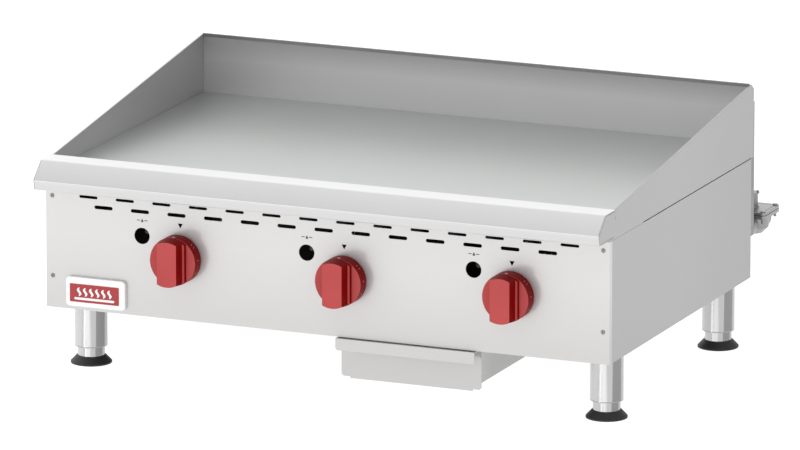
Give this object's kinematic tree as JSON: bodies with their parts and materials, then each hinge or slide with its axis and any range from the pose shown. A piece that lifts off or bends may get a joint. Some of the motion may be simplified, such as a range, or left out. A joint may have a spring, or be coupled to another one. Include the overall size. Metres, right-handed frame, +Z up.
{
  "type": "flat top griddle",
  "caption": "Countertop gas griddle with a flat steel plate, splash guards, front control knobs, a grease drawer and adjustable legs.",
  "frame": {"origin": "centre of the overall box at bench height, under the feet", "axes": "+X to the right as seen by the cook, +Y towards the back, +Z up"},
  "size_m": [0.914, 0.756, 0.406],
  "materials": {
    "stainless_steel": "fine brushed",
    "plate_steel": "ground and polished",
    "galvanised_steel": "aluminised, dull",
    "chrome": "polished",
    "black_iron": "mill scale",
    "brass": "machined",
    "cast_aluminium": "die cast",
    "black_rubber": "moulded",
    "red_plastic": "moulded, glossy",
    "badge_white": "gloss enamel",
    "badge_red": "gloss enamel",
    "marking_ink": "screen printed"
  },
  "bodies": {
    "chassis": {"griddle_plate": "plate_steel", "back_splash": "stainless_steel", "left_splash": "stainless_steel", "right_splash": "stainless_steel", "front_rail": "stainless_steel", "grease_trough": "stainless_steel", "grease_chute": "stainless_steel", "control_panel": "stainless_steel", "left_side_panel": "stainless_steel", "right_side_panel": "stainless_steel", "back_panel": "galvanised_steel", "bottom_frame": "galvanised_steel", "leg_tubes": "chrome", "leg_nuts": "galvanised_steel", "firebox_liners": "galvanised_steel", "rear_baffle": "galvanised_steel", "heat_shield": "galvanised_steel", "burner_hanger": "galvanised_steel", "drawer_slides": "galvanised_steel", "manifold_pipe": "black_iron", "manifold_cap": "black_iron", "feed_elbow": "black_iron", "feed_pipe": "galvanised_steel", "feed_coupling": "galvanised_steel", "regulator_body": "cast_aluminium", "regulator_diaphragm": "black_rubber", "regulator_cover": "cast_aluminium", "regulator_spring": "galvanised_steel", "regulator_cap": "cast_aluminium", "regulator_screws": "chrome", "valve_bodies": "brass", "orifice_hoods": "brass", "burners": "black_iron", "pilot_valves": "brass", "pilot_burners": "cast_aluminium", "badge_plate": "badge_white", "case_screws": "chrome"},
    "left_control": {"knob_left": "red_plastic", "valve_stem_left": "brass"},
    "left_shutter": {"air_shutter_left": "galvanised_steel"},
    "left_pilot_needle": {"pilot_screw_left": "chrome"},
    "middle_control": {"knob_middle": "red_plastic", "valve_stem_middle": "brass"},
    "middle_shutter": {"air_shutter_middle": "galvanised_steel"},
    "middle_pilot_needle": {"pilot_screw_middle": "chrome"},
    "right_control": {"knob_right": "red_plastic", "valve_stem_right": "brass"},
    "right_shutter": {"air_shutter_right": "galvanised_steel"},
    "right_pilot_needle": {"pilot_screw_right": "chrome"},
    "drawer": {"drawer_tray": "stainless_steel", "drawer_handle": "stainless_steel"},
    "front_left_foot": {"foot_tube_front_left": "chrome", "foot_pad_front_left": "black_rubber"},
    "front_right_foot": {"foot_tube_front_right": "chrome", "foot_pad_front_right": "black_rubber"},
    "rear_left_foot": {"foot_tube_rear_left": "chrome", "foot_pad_rear_left": "black_rubber"},
    "rear_right_foot": {"foot_tube_rear_right": "chrome", "foot_pad_rear_right": "black_rubber"}
  },
  "joints": [
    {"name": "left_knob_turn", "type": "hinge", "parent": "chassis", "child": "left_control", "pos_m": [-0.2382, -0.332, 0.197], "axis": [0, -1, 0], "range_deg": [0, 150]},
    {"name": "middle_knob_turn", "type": "hinge", "parent": "chassis", "child": "middle_control", "pos_m": [0.031, -0.332, 0.191], "axis": [0, -1, 0], "range_deg": [0, 150]},
    {"name": "right_knob_turn", "type": "hinge", "parent": "chassis", "child": "right_control", "pos_m": [0.3002, -0.332, 0.1935], "axis": [0, -1, 0], "range_deg": [0, 150]},
    {"name": "left_shutter_turn", "type": "hinge", "parent": "chassis", "child": "left_shutter", "pos_m": [-0.2382, -0.235, 0.238], "axis": [0, -1, 0], "range_deg": [-45, 45]},
    {"name": "middle_shutter_turn", "type": "hinge", "parent": "chassis", "child": "middle_shutter", "pos_m": [0.031, -0.235, 0.238], "axis": [0, -1, 0], "range_deg": [-45, 45]},
    {"name": "right_shutter_turn", "type": "hinge", "parent": "chassis", "child": "right_shutter", "pos_m": [0.3002, -0.235, 0.238], "axis": [0, -1, 0], "range_deg": [-45, 45]},
    {"name": "left_pilot_adjust", "type": "hinge", "parent": "chassis", "child": "left_pilot_needle", "pos_m": [-0.3026, -0.292, 0.2262], "axis": [0, -1, 0], "range_deg": [-180, 180]},
    {"name": "middle_pilot_adjust", "type": "hinge", "parent": "chassis", "child": "middle_pilot_needle", "pos_m": [-0.0334, -0.292, 0.2262], "axis": [0, -1, 0], "range_deg": [-180, 180]},
    {"name": "right_pilot_adjust", "type": "hinge", "parent": "chassis", "child": "right_pilot_needle", "pos_m": [0.2358, -0.292, 0.2262], "axis": [0, -1, 0], "range_deg": [-180, 180]},
    {"name": "drawer_pull", "type": "slide", "parent": "chassis", "child": "drawer", "axis": [0, -1, 0], "range_m": [0, 0.26]},
    {"name": "front_left_foot_adjust", "type": "slide", "parent": "chassis", "child": "front_left_foot", "axis": [0, 0, -1], "range_m": [-0.01, 0.025]},
    {"name": "front_right_foot_adjust", "type": "slide", "parent": "chassis", "child": "front_right_foot", "axis": [0, 0, -1], "range_m": [-0.01, 0.025]},
    {"name": "rear_left_foot_adjust", "type": "slide", "parent": "chassis", "child": "rear_left_foot", "axis": [0, 0, -1], "range_m": [-0.01, 0.025]},
    {"name": "rear_right_foot_adjust", "type": "slide", "parent": "chassis", "child": "rear_right_foot", "axis": [0, 0, -1], "range_m": [-0.01, 0.025]}
  ]
}
